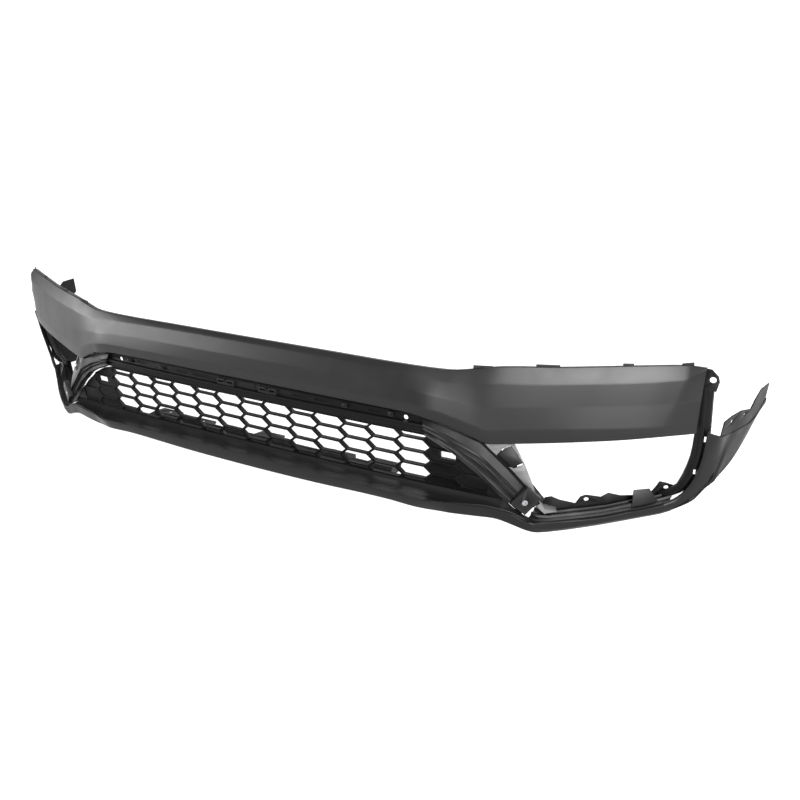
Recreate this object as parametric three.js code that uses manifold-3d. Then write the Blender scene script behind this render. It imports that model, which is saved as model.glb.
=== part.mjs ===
// Front lower bumper cover of a compact SUV, as a set of moulded plastic parts.
// Millimetres, +Z up, front of the car towards -Y, car's centre plane at X = 0.
import * as THREE from 'three';
import { mergeVertices } from 'three/addons/utils/BufferGeometryUtils.js';
import Module from 'manifold-3d';

const wasm = await Module();
wasm.setup();

// ---------------------------------------------------------------- dimensions
const GAP = 0.3; // clearance between touching parts
const WALL = 2.8; // skin thickness of the two outer covers
const RIB = 2.4; // wall thickness of the inner mouldings
const ROUND_SIDES = 16; // sides of a small hole or pin
const END_X = 818; // half-width of the upper fascia
const TIP_X = 917; // half-width over the wing tips
const TIP_Y = 380; // how far the wing tips reach back
const LIP_Y = -33; // front of the lower lip
const LIP_END = 796; // half-width where the lip runs into the wing
const MESH_Z = -51; // height of the second row of open cells
const CELL_PITCH_X = 59.5; // column spacing of the honeycomb
const CELL_PITCH_Z = 28; // row spacing of the honeycomb
const CELL_WIDTH = 67.8; // open width of one cell, point to point
const CELL_HEIGHT = 24.6; // open height of one cell
const CELL_FLAT = 41; // length of a cell's flat top
const MESH_DEPTH = 9; // depth of the honeycomb bars
const MESH_RAKE = 0.107; // the honeycomb leans back towards its lower edge
const MESH_TOP = -24; // upper edge of the honeycomb
const MESH_BOTTOM = -129.5; // lower edge of the honeycomb
const OPEN_COLUMNS = 6; // open columns on each side of the middle one
const RAIL_END = 394; // half-width of the rail above the honeycomb
const RAIL_TOP = 11;
const MOUNT_SHELF = { width: 96, front: -16.5, depth: 41.5, top: 90, thick: 3, holeX: 32, hole: 8 };
const LOCATING_PAD = { width: 30, depth: 18, rise: 0.5, aside: 3 }; // raised land between the bolt holes
const SCREW_HEAD = 11; // head diameter of the end-cap screw
const EAR = { x: 830, z: 94, outer: 18, hole: 11 }; // bolt ear at the top of each end upright

// Half-width, value stations: the car is symmetric, so only one side is listed.
const TOP_Y = [[0, -5], [190, -2], [333, 5], [420, 19], [456, 28], [505, 40], [596, 74], [718, 127],
  [793, 164], [END_X, 182]];
const TOP_Z = [[0, 105.5], [190, 104.5], [333, 102], [420, 100], [456, 104.5], [505, 113], [596, 116],
  [718, 121.5], [793, 122.5], [END_X, 116]];
const CREASE_FORWARD = [[0, 9], [333, 10], [505, 13], [793, 13], [END_X, 3]];
const CREASE_DROP = [[0, 8], [333, 12], [420, 18], [505, 27], [596, 27], [793, 22], [END_X, 4]];
const HEM_Y = [[0, -20], [333, -17], [390, -15], [420, -6.5], [454, 4], [484, 14], [516, 25.5],
  [581, 49.5], [644, 73], [706, 99], [765, 129], [END_X, 171]];
const HEM_Z = [[0, 22], [333, 20.5], [372, 18.5], [403, 12], [420, 7.5], [436, 0], [454, -7.5], [471, -15.5],
  [484, -22], [493, -26], [516, -25], [581, -20], [644, -14], [706, -8], [765, -2], [END_X, -2]];
const BAND_RISE = [[0, 23], [333, 20], [420, 22], [505, 28], [596, 28], [771, 20], [END_X, 16]];
const BAND_LEAD = [[0, 7], [333, 6], [420, 4], [505, 3], [END_X, 2]];
const FACE_FORWARD = [[0, 20], [333, 18], [505, 19], [END_X, 16]];

// Lower lip: four edges, from the shelf under the honeycomb to the underside.
const SHELF_Y = [[0, 22], [400, 27], [500, 33], [525, 33], [545, 31], [565, 33], [581, 36], [597, 39],
  [628, 59], [658, 80], [688, 102], [732, 136], [756, 154], [785, 176], [LIP_END, 182]];
const SHELF_Z = [[0, MESH_BOTTOM - 0.4], [500, MESH_BOTTOM - 0.4], [525, -132], [545, -145], [565, -156],
  [581, -162], [597, -164.5], [628, -164], [658, -162.5], [688, -161], [732, -155.5], [756, -153],
  [785, -147], [LIP_END, -142]];
const BROW_Y = [[0, -12], [400, -11], [450, -4], [500, 3], [545, 15], [581, 25], [597, 29], [628, 48],
  [658, 69], [688, 91], [732, 125], [756, 143], [785, 165], [LIP_END, 172]];
const BROW_Z = [[0, -138.5], [400, -139], [450, -141], [500, -140], [525, -142], [545, -149], [565, -159],
  [581, -165], [597, -163], [658, -163], [688, -162], [732, -156], [756, -154], [785, -148], [LIP_END, -143]];
const LIP_EDGE_Y = [[0, LIP_Y], [390, LIP_Y], [410, -29], [426, -22], [443, -16], [479, -8], [512, 1], [546, 12],
  [565, 19], [581, 24], [593, 27], [606, 36], [628, 51], [659, 72], [689, 94], [733, 129], [780, 164],
  [LIP_END, 174]];
const LIP_EDGE_Z = [[0, -136.5], [410, -137], [426, -139.5], [460, -138.5], [496, -136.5], [520, -139],
  [546, -145], [565, -155], [581, -166], [593, -173], [606, -177], [628, -178], [659, -175], [689, -173],
  [733, -169], [780, -164], [LIP_END, -155]];
const CHIN_Y = [[0, -28], [330, -28], [380, -26], [420, -14], [445, -10], [484, -1], [521, 9], [547, 15],
  [565, 22], [580, 28], [594, 33], [627, 56], [658, 77], [688, 100], [749, 146], [780, 169], [LIP_END, 178]];
const CHIN_Z = [[0, -163], [150, -161.5], [280, -157], [330, -156.5], [380, -159], [420, -163], [484, -163],
  [521, -164], [547, -171], [565, -179], [580, -184.5], [594, -185.5], [627, -185], [658, -182], [688, -180],
  [749, -173], [780, -169], [LIP_END, -163]];
const CHIN_RETURN = 16; // the underside turns back this far

// ------------------------------------------------------------------- helpers
// Smooth value at half-width |x| through a list of [half-width, value] stations.
function along(stations, x) {
  const u = Math.abs(x);
  const last = stations.length - 1;
  let i = 0;
  while (i < last - 1 && u > stations[i + 1][0]) i += 1;
  const slope = (k) => {
    if (k <= 0 || k >= last) return 0;
    return (stations[k + 1][1] - stations[k - 1][1]) / (stations[k + 1][0] - stations[k - 1][0]);
  };
  const [x0, v0] = stations[i];
  const [x1, v1] = stations[i + 1];
  const span = x1 - x0;
  const t = THREE.MathUtils.clamp((u - x0) / span, 0, 1);
  const startSlope = i === 0 ? 0 : slope(i);
  const endSlope = i + 1 === last ? (v1 - v0) / span : slope(i + 1);
  const t2 = t * t;
  const t3 = t2 * t;
  return (2 * t3 - 3 * t2 + 1) * v0 + (t3 - 2 * t2 + t) * span * startSlope
    + (3 * t2 - 2 * t3) * v1 + (t3 - t2) * span * endSlope;
}

// A list of half-widths mirrored into one list from left to right.
function bothWays(halfWidths) {
  const right = halfWidths.filter((u) => u > 0);
  return [...right.map((u) => -u).reverse(), 0, ...right];
}

// A closed sheet of plastic: a box whose vertices are laid on a grid of points.
// Columns run along +X, rows run upwards, and the wall grows away from the outer face.
function sheet(columns, rows, pointAt, wall, grow = 0) {
  const n = columns - 1;
  const m = rows - 1;
  const box = new THREE.BoxGeometry(n, 1, m, n, 1, m);
  const at = (i, j) => pointAt(THREE.MathUtils.clamp(i, 0, n), THREE.MathUtils.clamp(j, 0, m));
  const position = box.attributes.position;
  for (let k = 0; k < position.count; k += 1) {
    const i = Math.round(position.getX(k) + n / 2);
    const j = Math.round(position.getZ(k) + m / 2);
    const inner = position.getY(k) > 0;
    const across = at(i + 1, j).sub(at(i - 1, j));
    const upward = at(i, j + 1).sub(at(i, j - 1));
    const past = new THREE.Vector3()
      .addScaledVector(across.clone().normalize(), i === n ? grow : i === 0 ? -grow : 0)
      .addScaledVector(upward.clone().normalize(), j === m ? grow : j === 0 ? -grow : 0);
    const inward = upward.cross(across).normalize();
    const point = at(i, j).add(past).addScaledVector(inward, inner ? wall + grow : -grow);
    position.setXYZ(k, point.x, point.y, point.z);
  }
  return box;
}

// A closed three.js geometry as a manifold solid.
function solid(geometry) {
  const bare = geometry.clone();
  bare.deleteAttribute('normal');
  bare.deleteAttribute('uv');
  const merged = mergeVertices(bare, 1e-4);
  return new wasm.Manifold(new wasm.Mesh({
    numProp: 3,
    vertProperties: new Float32Array(merged.attributes.position.array),
    triVerts: new Uint32Array(merged.index.array),
  }));
}

// A manifold solid as a three.js geometry again.
function geometryOf(manifold) {
  const { vertProperties, triVerts } = manifold.getMesh();
  const geometry = new THREE.BufferGeometry();
  geometry.setAttribute('position', new THREE.BufferAttribute(new Float32Array(vertProperties), 3));
  geometry.setIndex(new THREE.BufferAttribute(new Uint32Array(triVerts), 1));
  geometry.computeVertexNormals();
  return geometry;
}

const join = (...parts) => parts.reduce((all, part) => all.add(part));
const cut = (body, ...tools) => tools.reduce((rest, tool) => rest.subtract(tool), body);

// The largest connected body, without the slivers that a cut may leave.
const largest = (body) => body.decompose().reduce((a, b) => (b.volume() > a.volume() ? b : a));

// A box solid with its centre at the given point, turned about Z.
function block(width, depth, height, x, y, z, turn = 0) {
  return solid(new THREE.BoxGeometry(width, depth, height).rotateZ(turn).translate(x, y, z));
}

// A round bar along Y, centred on the point, used for bolt holes and pins.
function barY(diameter, length, x, y, z, turn = 0) {
  const cylinder = new THREE.CylinderGeometry(diameter / 2, diameter / 2, length, ROUND_SIDES);
  return solid(cylinder.rotateZ(turn).translate(x, y, z));
}

// A round bar along Z.
function barZ(diameter, length, x, y, z) {
  const cylinder = new THREE.CylinderGeometry(diameter / 2, diameter / 2, length, ROUND_SIDES);
  return solid(cylinder.rotateX(Math.PI / 2).translate(x, y, z));
}

// A prism along Y from an outline in the X-Z plane.
function prismY(outline, y0, y1) {
  const shape = new THREE.Shape(outline.map(([x, z]) => new THREE.Vector2(x, z)));
  const prism = new THREE.ExtrudeGeometry(shape, { depth: y1 - y0, bevelEnabled: false });
  prism.rotateX(Math.PI / 2).translate(0, y1, 0);
  return solid(prism);
}

// The mirror image of a right-hand solid on the car's left side.
const mirrored = (manifold) => manifold.mirror([1, 0, 0]);

// Cutters that leave room for both hands of a skin, so a mirrored piece clears it too.
const roomFor = (skin) => [skin(GAP), mirrored(skin(GAP))];

// Plan angle of the body side at half-width x, from the hem line.
function planAngle(x) {
  return Math.atan2(along(HEM_Y, x + 5) - along(HEM_Y, x - 5), 10);
}

// ------------------------------------------------------------- upper fascia
const FASCIA_STATIONS = bothWays([0, 110, 220, 333, 372, 403, 420, 436, 454, 471, 484, 493, 505, 516, 548,
  596, 644, 706, 745, 771, 782, 800, END_X]);
const END_CREASE = 782; // station of the crease in front of the end facet
const END_CREASE_SLANT = [-16, -16, -11, 0, 11, 9, 6]; // how that crease leans, row by row

function fasciaPoint(i, j) {
  const station = FASCIA_STATIONS[i];
  const side = Math.sign(station);
  const slant = Math.abs(station) === END_CREASE ? END_CREASE_SLANT[j] : 0;
  const x = station + side * slant;
  const topY = along(TOP_Y, x);
  const topZ = along(TOP_Z, x);
  const hemY = along(HEM_Y, x);
  const hemZ = along(HEM_Z, x);
  const creaseZ = topZ - along(CREASE_DROP, x);
  const bandZ = hemZ + along(BAND_RISE, x);
  const bandY = hemY - along(BAND_LEAD, x);
  const profile = [
    [hemY + 8, hemZ + 1],
    [hemY, hemZ],
    [bandY, bandZ],
    [Math.min(topY - along(FACE_FORWARD, x), bandY + 6), (creaseZ + bandZ) / 2],
    [topY - along(CREASE_FORWARD, x), creaseZ],
    [topY, topZ],
    [topY + 11, topZ - 2.5],
  ];
  return new THREE.Vector3(x, profile[j][0], profile[j][1]);
}

const fasciaSkin = (grow = 0) => solid(sheet(FASCIA_STATIONS.length, 7, fasciaPoint, WALL, grow));

const fasciaRoom = roomFor(fasciaSkin);

// Small upright tabs along the top edge that tuck behind the part above.
function topEdgeTab(x, width) {
  return block(width, RIB, 7, x, along(TOP_Y, x) + 5, along(TOP_Z, x) - 1, planAngle(x));
}

// The shelf behind the middle of the fascia, bolted down through two holes.
function mountShelf() {
  const { width, front, depth, top, thick, holeX, hole } = MOUNT_SHELF;
  const y = front + depth / 2;
  const plate = block(width, depth, thick, 0, y, top - LOCATING_PAD.rise - thick / 2);
  const pad = block(LOCATING_PAD.width, LOCATING_PAD.depth, thick, LOCATING_PAD.aside, y, top - thick / 2);
  return cut(join(plate, pad), ...[-1, 1].map((side) => barZ(hole, 3 * thick, side * holeX, y + 4, top)));
}

function upperFascia() {
  const tabs = [[475, 34], [578, 40], [700, 18], [789, 22]].map(([x, width]) => topEdgeTab(x, width));
  return join(fasciaSkin(), mountShelf(), ...tabs, ...tabs.map(mirrored));
}

// ----------------------------------------------------- lower lip and wings
const LIP_STATIONS = bothWays([0, 130, 260, 370, 400, 425, 450, 479, 500, 520, 545, 565, 581, 594, 606, 630,
  661, 692, 733, 760, 780, LIP_END]);

function lipPoint(i, j) {
  const x = LIP_STATIONS[i];
  const chinY = along(CHIN_Y, x);
  const chinZ = along(CHIN_Z, x);
  const profile = [
    [chinY + CHIN_RETURN, chinZ + 1.5],
    [chinY, chinZ],
    [along(LIP_EDGE_Y, x), along(LIP_EDGE_Z, x)],
    [along(BROW_Y, x), along(BROW_Z, x)],
    [along(SHELF_Y, x), along(SHELF_Z, x)],
  ];
  return new THREE.Vector3(x, profile[j][0], profile[j][1]);
}

const lipSkin = (grow = 0) => solid(sheet(LIP_STATIONS.length, 5, lipPoint, WALL, grow));

const lipRoom = roomFor(lipSkin);

// The right wing's columns, each one a curve from its lower to its upper end.
const WING_TOP = [[838, 178, 2], [858, 195, -8], [868, 229, -15], [880, 254, -15], [890, 282, -16],
  [899, 308, -16], [908, 343, -7], [TIP_X, TIP_Y, 8]];
const WING_COLUMNS = [
  [[783, 172, -145], [798, 181, -138], [811, 188, -124], [825, 192, -93], [833, 190, -51], [835, 186, 3]],
  [[785, 165, -148], [800, 174, -141], [814, 181, -125], [828, 185, -93], [836, 183, -51], WING_TOP[0]],
  [[795, 176, -162], [825, 194, -146], [838, 201, -129], [852, 207, -95], [856, 205, -50], WING_TOP[1]],
  [[851, 207, -111], [864, 218, -60], WING_TOP[2]],
  [[862, 219, -97], [873, 236, -55], WING_TOP[3]],
  [[879, 252, -75], [886, 268, -42], WING_TOP[4]],
  [[893, 290, -47], [897, 300, -28], WING_TOP[5]],
  [[907, 340, -14], [908, 342, -10], WING_TOP[6]],
  [[TIP_X, TIP_Y, -2], [TIP_X, TIP_Y, 3], WING_TOP[7]],
].map((points) => new THREE.CatmullRomCurve3(points.map((p) => new THREE.Vector3(...p))));
const WING_ROWS = 8;

const wingPoint = (i, j) => WING_COLUMNS[i].getPoint(j / (WING_ROWS - 1));

// The stepped-in flange along the wing's upper edge, with its fixing holes.
const FLANGE_TOP = [[859, 205, 16], [869, 230, 20], [881, 256, 22], [895, 296, 13], [899, 308, 26],
  [906, 334, 40], [TIP_X, TIP_Y, 38]];
const FLANGE_FOOT = [[857, 197, -14], [867, 229, -21], [879, 254, -21], [892, 290, -22], [897, 306, -22],
  [905, 334, -16], [TIP_X - 2, TIP_Y, 1]];

function wingFlangePoint(i, j) {
  return new THREE.Vector3(...FLANGE_FOOT[i]).lerp(new THREE.Vector3(...FLANGE_TOP[i]), j);
}

function rightWing() {
  const flange = solid(sheet(FLANGE_TOP.length, 2, wingFlangePoint, RIB));
  const holes = [[869, 231, 9], [887, 272, 10]].map(([x, y, z]) => barY(8, 24, x, y, z, Math.PI / 3));
  return cut(join(wingSkin(), flange), ...holes);
}

function lowerValance() {
  const wing = rightWing();
  return join(lipSkin(), wing, mirrored(wing));
}

// -------------------------------------------------------- garnish channels
// A straight ribbed channel that runs from the rail down to the lip's corner.
const CHANNEL_OUTER = [[380, -3, 9], [401, 1, 5], [437, 8, -8], [460, 11, -16], [484, 14, -24], [501, 19, -40],
  [531, 28, -70], [564, 38, -107], [588, 45, -136]];
const CHANNEL_INNER = [[388, -8, -20], [418, -10, -31], [444, -7, -45], [462, -3, -60], [482, 1, -75],
  [508, 8, -100], [526, 13, -118], [542, 19, -131], [562, 25, -150]];
// Across the channel: share of the width, and how far the face stands forward.
// It starts with a return to the honeycomb and ends with one behind the fascia's hem.
const CHANNEL_PROFILE = [[0, -14], [0, 0], [0.06, 5], [0.12, 0.5], [0.36, 0.5], [0.41, 5.5], [0.47, 1.5], [0.56, 1.5],
  [0.61, 6], [0.68, 2], [1, 1], [1.04, -4], [1.2, -16]];

function channelPoint(i, j) {
  const [share, forward] = CHANNEL_PROFILE[j];
  const inner = new THREE.Vector3(...CHANNEL_INNER[i]);
  const point = inner.lerp(new THREE.Vector3(...CHANNEL_OUTER[i]), share);
  point.y -= forward;
  return point;
}

const channelSkin = (grow = 0) => solid(
  sheet(CHANNEL_OUTER.length, CHANNEL_PROFILE.length, channelPoint, RIB, grow),
);

const channelRoom = roomFor(channelSkin);

// The dark cap that closes the channel's lower end and carries its screw.
const CAP_CENTRE = new THREE.Vector3(567, 26, -126);
const CAP_TILT = THREE.MathUtils.degToRad(41);
const CAP_YAW = THREE.MathUtils.degToRad(30);

// Width and height are measured along and across the channel, from the screw.
function capBlock(width, depth, height, up, back = 0) {
  const box = new THREE.BoxGeometry(width, depth, height).translate(0, back, up);
  box.rotateY(CAP_TILT).rotateZ(CAP_YAW).translate(CAP_CENTRE.x, CAP_CENTRE.y, CAP_CENTRE.z);
  return solid(box);
}

function capBar(diameter, length, back) {
  const bar = new THREE.CylinderGeometry(diameter / 2, diameter / 2, length, 20).translate(0, back, 0);
  bar.rotateY(CAP_TILT).rotateZ(CAP_YAW).translate(CAP_CENTRE.x, CAP_CENTRE.y, CAP_CENTRE.z);
  return solid(bar);
}

function garnishChannel() {
  const slots = [438, 452, 466].map((x) => block(8, 30, 3.5, x, 20, 1 - (x - 430) * 0.35));
  return largest(cut(channelSkin(), capBar(5, 60, 0), ...slots, floorSkin(GAP), ...fasciaRoom, ...lipRoom));
}

function channelCap() {
  const body = capBlock(34, 10, 42, 4);
  const pocket = capBar(SCREW_HEAD + 3, 4, -4.5);
  const bore = capBar(5, 30, 0);
  return largest(cut(body, pocket, bore, channelSkin(2 * GAP), floorSkin(GAP), ...lipRoom));
}

function channelScrew() {
  const head = capBar(SCREW_HEAD, 2.2, -3.9);
  const shank = capBar(4.4, 17, 5.6);
  const slot = capBlock(7, 1.2, 1.6, 0, -4.8);
  return cut(join(head, shank), slot);
}

// ------------------------------------------------------------ honeycomb
const MESH_STATIONS = bothWays([0, 90, 180, 270, 340, 400, 450, 500, 560]);

function meshPlane(x, z) {
  return 1.7 + 7.9e-6 * x * x + 1.39e-10 * x ** 4 - MESH_RAKE * (z - MESH_Z);
}

function meshSlab(front, depth) {
  const low = MESH_BOTTOM - 20;
  const high = MESH_TOP + 20;
  const point = (i, j) => {
    const x = MESH_STATIONS[i];
    const z = j ? high : low;
    return new THREE.Vector3(x, meshPlane(x, z) + front, z);
  };
  return solid(sheet(MESH_STATIONS.length, 2, point, depth));
}

// The outline stops short of the channels' inner edges and the lip's shelf.
function meshOutline() {
  const half = CHANNEL_INNER.slice(0, 7).map(([x, , z]) => [x - 1.5, Math.min(z - 1.5, MESH_TOP - GAP)]);
  const corner = [CHANNEL_INNER[7][0] - 12, MESH_BOTTOM];
  const right = [...half.filter(([, z]) => z > MESH_BOTTOM), corner];
  return [[-half[0][0], MESH_TOP], [half[0][0], MESH_TOP], ...right,
    ...right.map(([x, z]) => [-x, z]).reverse()];
}

function hexagon(x, z, spread = 0) {
  const w = CELL_WIDTH / 2 + spread * 1.4;
  const f = CELL_FLAT / 2 + spread * 0.7;
  const h = CELL_HEIGHT / 2 + spread;
  return [[x - w, z], [x - f, z - h], [x + f, z - h], [x + w, z], [x + f, z + h], [x - f, z + h]];
}

// Cell centres of one column; odd columns sit half a row lower than even ones.
function cellHeights(column) {
  const offset = Math.abs(column) % 2 ? CELL_PITCH_Z / 2 : CELL_PITCH_Z;
  return [0, 1, 2, 3, 4, 5].map((row) => MESH_Z + offset - row * CELL_PITCH_Z)
    .filter((z) => z < MESH_TOP + 4 && z > MESH_BOTTOM - 8);
}

function centreGrille() {
  const plate = meshSlab(0, MESH_DEPTH).intersect(prismY(meshOutline(), -60, 90));
  const rim = MESH_BOTTOM + 2.5;
  const cells = [];
  const pockets = [];
  for (let column = -OPEN_COLUMNS - 2; column <= OPEN_COLUMNS + 2; column += 1) {
    const list = Math.abs(column) > OPEN_COLUMNS ? pockets : cells;
    for (const z of cellHeights(column)) list.push(prismY(hexagon(column * CELL_PITCH_X, z), -60, 90));
  }
  const field = block(1000, 120, MESH_TOP - rim - 2.5, 0, 0, (MESH_TOP - 2.5 + rim) / 2);
  const open = wasm.Manifold.union(cells).intersect(field);
  const relief = wasm.Manifold.union(pockets).intersect(meshSlab(-5, 7.2)).intersect(field);
  const tow = block(30, 90, 16, 425, 10, -61);
  return cut(plate, open, relief, tow, mirrored(tow));
}

// --------------------------------------------------------- rail and clips
const RAIL_STATIONS = bothWays([0, 75, 150, 225, 300, 345, RAIL_END]);
const railY = (x) => -8.5 + 7.5 * (x / 346) ** 2;
const RAIL_PROFILE = [[6, MESH_TOP + GAP], [-1.5, -19], [-1.5, -9], [-6, -7.5], [-6, -3.5], [0, -2], [0, RAIL_TOP],
  [8, RAIL_TOP + 9]];

function railPoint(i, j) {
  const x = RAIL_STATIONS[i];
  return new THREE.Vector3(x, railY(x) + 1.5 + RAIL_PROFILE[j][0], RAIL_PROFILE[j][1]);
}

const RAIL_POCKETS = bothWays([120, 170, 285]).filter((x) => x !== 0); // shallow clip pockets
const HOOKS = [222, 317];
const TOWER_X = 51;

function grilleTopRail() {
  const skin = solid(sheet(RAIL_STATIONS.length, RAIL_PROFILE.length, railPoint, 2.2));
  const lands = [block(38, 2.4, 12, 0, railY(0) + 1, 4.6)];
  const holes = [-1, 1].map((side) => barY(9, 40, side * 346, 0, 3));
  const slots = RAIL_POCKETS.map((x) => block(26, 2.4, 3.4, x, railY(x) + 1.5, 5));
  return largest(cut(join(skin, ...lands), ...holes, ...slots, ...channelRoom));
}

// A spring tower: a small moulded box with two slots, clipped on the rail's face.
function clipTower(x) {
  const y = railY(x) + 1.5 - GAP - 3;
  const body = block(42, 6, 11, x, y, 4.2);
  const slots = [-11, 11].map((dx) => block(13, 20, 3, x + dx, y, 5.6));
  const waist = block(4, 20, 6, x, y, 9);
  return cut(body, ...slots, waist);
}

function hookClip(x) {
  const y = railY(x) + 1.5 - GAP - 2.5;
  return join(block(11, 5, 8, x, y, 5), block(5, 7, 4, x, y - 1.5, 7));
}

// ------------------------------------------------------ undertray flange
const TRAY_THICK = 2.6;
const TRAY_Z = MESH_BOTTOM - GAP - TRAY_THICK;

const TRAY_END = 312;
const TRAY_TABS = [[-276, 66], [-177, 60], [0, 68], [177, 60], [276, 66]]; // x and rear edge of each tab

function undertrayFlange() {
  const front = bothWays([0, 130, 260, TRAY_END]).map((x) => [x, along(SHELF_Y, x) + 4 * GAP]);
  const rear = TRAY_TABS.flatMap(([x, y]) => [[x - 36, 46], [x - 28, y], [x + 28, y], [x + 36, 46]]).reverse();
  const shape = new THREE.Shape([...front, ...rear].map(([x, y]) => new THREE.Vector2(x, y)));
  const plate = solid(new THREE.ExtrudeGeometry(shape, { depth: TRAY_THICK, bevelEnabled: false })
    .translate(0, 0, TRAY_Z));
  const curb = block(2 * TRAY_END - 24, TRAY_THICK, 9, 0, 32, TRAY_Z + 5);
  const holes = TRAY_TABS.map(([x, y]) => barZ(9, 20, x, y - 10, TRAY_Z));
  return cut(join(plate, curb), ...holes);
}

// ------------------------------------------------- fog lamp opening pieces
const FLOOR_STATIONS = [576, 590, 606, 628, 658, 688, 732, 756, 780, 792];
// Distance behind the lip's shelf and height above the floor line, with two ribs.
const FLOOR_PROFILE = [[-6, 0], [6, 0], [7.5, 4], [10.5, 4], [12, 0], [24, 0], [25.5, 4], [28.5, 4], [30, 0],
  [40.3, 0]];
const FLANGE_BACK = 39.1; // front face of the rear flange, behind the lip's shelf

const floorY = (x, back) => along(SHELF_Y, x) + 2 * GAP + back;

function floorPoint(i, j) {
  const x = FLOOR_STATIONS[i];
  const [back, up] = FLOOR_PROFILE[j];
  return new THREE.Vector3(x, floorY(x, back), along(SHELF_Z, x) + RIB + 2 * GAP + up);
}

// The wavy flange along the floor's rear edge, with its two screw tabs.
const FLANGE_OUTLINE = [[582, -166], [582, -146], [590, -137], [600, -135], [614, -143], [638, -152], [645, -139],
  [653, -136], [664, -139], [677, -143], [688, -136], [708, -144], [730, -146], [734, -141], [756, -142],
  [762, -132], [767, -122], [785, -129], [798, -133], [798, -146], [780, -150], [756, -154], [732, -157],
  [688, -161], [658, -164], [628, -167]];

function flangeSlab(grow = 0) {
  const point = (i, j) => {
    const x = FLOOR_STATIONS[i] + (i === FLOOR_STATIONS.length - 1 ? 10 : 0);
    return new THREE.Vector3(x, floorY(x, FLANGE_BACK), j ? -90 : -180);
  };
  return solid(sheet(FLOOR_STATIONS.length, 2, point, RIB, grow));
}

const floorSkin = (grow = 0) => solid(
  sheet(FLOOR_STATIONS.length, FLOOR_PROFILE.length, floorPoint, RIB, grow),
);

function openingFloor() {
  const flange = flangeSlab().intersect(prismY(FLANGE_OUTLINE, 0, 300));
  const holes = [[655, -145], [779, -135]].map(([x, z]) => barY(8, 40, x, floorY(x, FLANGE_BACK), z));
  return largest(cut(join(floorSkin(), flange), ...holes, wingSkin(2 * GAP), ...lipRoom));
}

// A leaning web that ties the floor to the back of the lip.
const GUSSET = { x: 755, behind: 4, z: -156, lean: -20, outline: [[-29, 0], [29, 0], [8, 34], [-22, 34]] };

function gusset() {
  const { x, behind, z, lean, outline } = GUSSET;
  const angle = Math.atan2(along(BROW_Y, x + 20) - along(BROW_Y, x - 20), 40);
  const shape = new THREE.Shape(outline.map(([u, v]) => new THREE.Vector2(u, v)));
  const plate = new THREE.ExtrudeGeometry(shape, { depth: RIB, bevelEnabled: false });
  plate.rotateX(Math.PI / 2 + THREE.MathUtils.degToRad(lean)).rotateZ(angle);
  plate.translate(x, floorY(x, behind), z);
  return largest(cut(solid(plate), floorSkin(GAP), ...lipRoom));
}

// Side panel of the opening: it runs outboard from the channel to a free edge and turns back there.
const PANEL_FRONT = [[470, 16, -12], [498, 22, -36], [516, 28, -54], [542, 37, -80], [560, 42, -103],
  [574, 45, -124], [588, 48, -146], [598, 52, -156]];
const PANEL_FREE = [[531, 46, -12], [537, 46, -31], [549, 46, -52], [562, 46, -75], [572, 46, -96],
  [582, 47, -119], [597, 54, -148], [616, 68, -154]];
const PANEL_RETURN = new THREE.Vector3(-10, 22, -2);
const BLANK_OUTLINE = [[505, -56], [519, -36], [531, -31], [556, -64], [540, -72]];
const BLANK_BACK = 48.5; // dark blanking plate in the panel

function panelPoint(i, j) {
  if (j === 0) return new THREE.Vector3(...PANEL_FRONT[i]);
  return new THREE.Vector3(...PANEL_FREE[i]).addScaledVector(PANEL_RETURN, j - 1);
}

const panelSkin = (grow = 0) => solid(sheet(PANEL_FRONT.length, 3, panelPoint, RIB, grow));
const around = [channelSkin(GAP), floorSkin(GAP), ...fasciaRoom, ...lipRoom];

function innerPanel() {
  return largest(cut(panelSkin(), prismY(BLANK_OUTLINE, 0, BLANK_BACK), flangeSlab(GAP), ...around));
}

// The blanking plate sits in the panel's cut-out, set back a little from its face.
function panelBlank() {
  const centre = new THREE.Vector2(530, -52);
  const inset = BLANK_OUTLINE.map(([x, z]) => new THREE.Vector2(x, z).sub(centre).multiplyScalar(0.9).add(centre));
  const plug = prismY(inset.map((p) => [p.x, p.y]), 0, BLANK_BACK);
  return largest(cut(panelSkin().translate([0, 3, 0]).intersect(plug), ...around));
}

// ------------------------------------------------------------ end uprights
const UPRIGHT_Z = [-142, -131, -118, -96, -74, -55, -36, -4, 6, 30, 60, 82];
const UPRIGHT_INNER = [[-142, 768], [-131, 784], [-118, 797], [-96, 804], [-74, 809], [-55, 812], [-20, 814],
  [20, 812], [82, 808]];
const UPRIGHT_WIDTH = [[-142, 24], [-118, 24], [-96, 28], [-55, 28], [-36, 28], [-4, 27], [82, 26]];
const UPRIGHT_Y = [[-142, 194], [-118, 197], [-96, 196], [-55, 193], [-4, 190], [6, 188], [82, 188]];

function straight(stations, z) {
  const upper = Math.max(1, stations.findIndex(([level]) => level >= z));
  const [z0, v0] = stations[upper - 1];
  const [z1, v1] = stations[upper];
  return THREE.MathUtils.mapLinear(z, z0, z1, v0, v1);
}

// Across the upright: share of the width, and how far the face stands forward.
const UPRIGHT_PROFILE = [[0, -7], [0.05, 0], [0.32, 0], [0.4, 3], [0.6, 3], [0.68, 0], [0.95, 0], [1, -7]];
const UPRIGHT_SLOTS = [[812, 31], [812, 16], [833, -17], [824, -84]];
// The plate that carries the bolt ear and reaches behind the fascia's corner.
const EAR_PLATE = [[808, 74], [838, 74], [841, 92], [838, 101], [826, 112], [810, 113]];

function uprightPoint(i, j) {
  const z = UPRIGHT_Z[j];
  const [share, forward] = UPRIGHT_PROFILE[i];
  const x = straight(UPRIGHT_INNER, z) + share * straight(UPRIGHT_WIDTH, z);
  return new THREE.Vector3(x, straight(UPRIGHT_Y, z) - forward, z);
}

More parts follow.
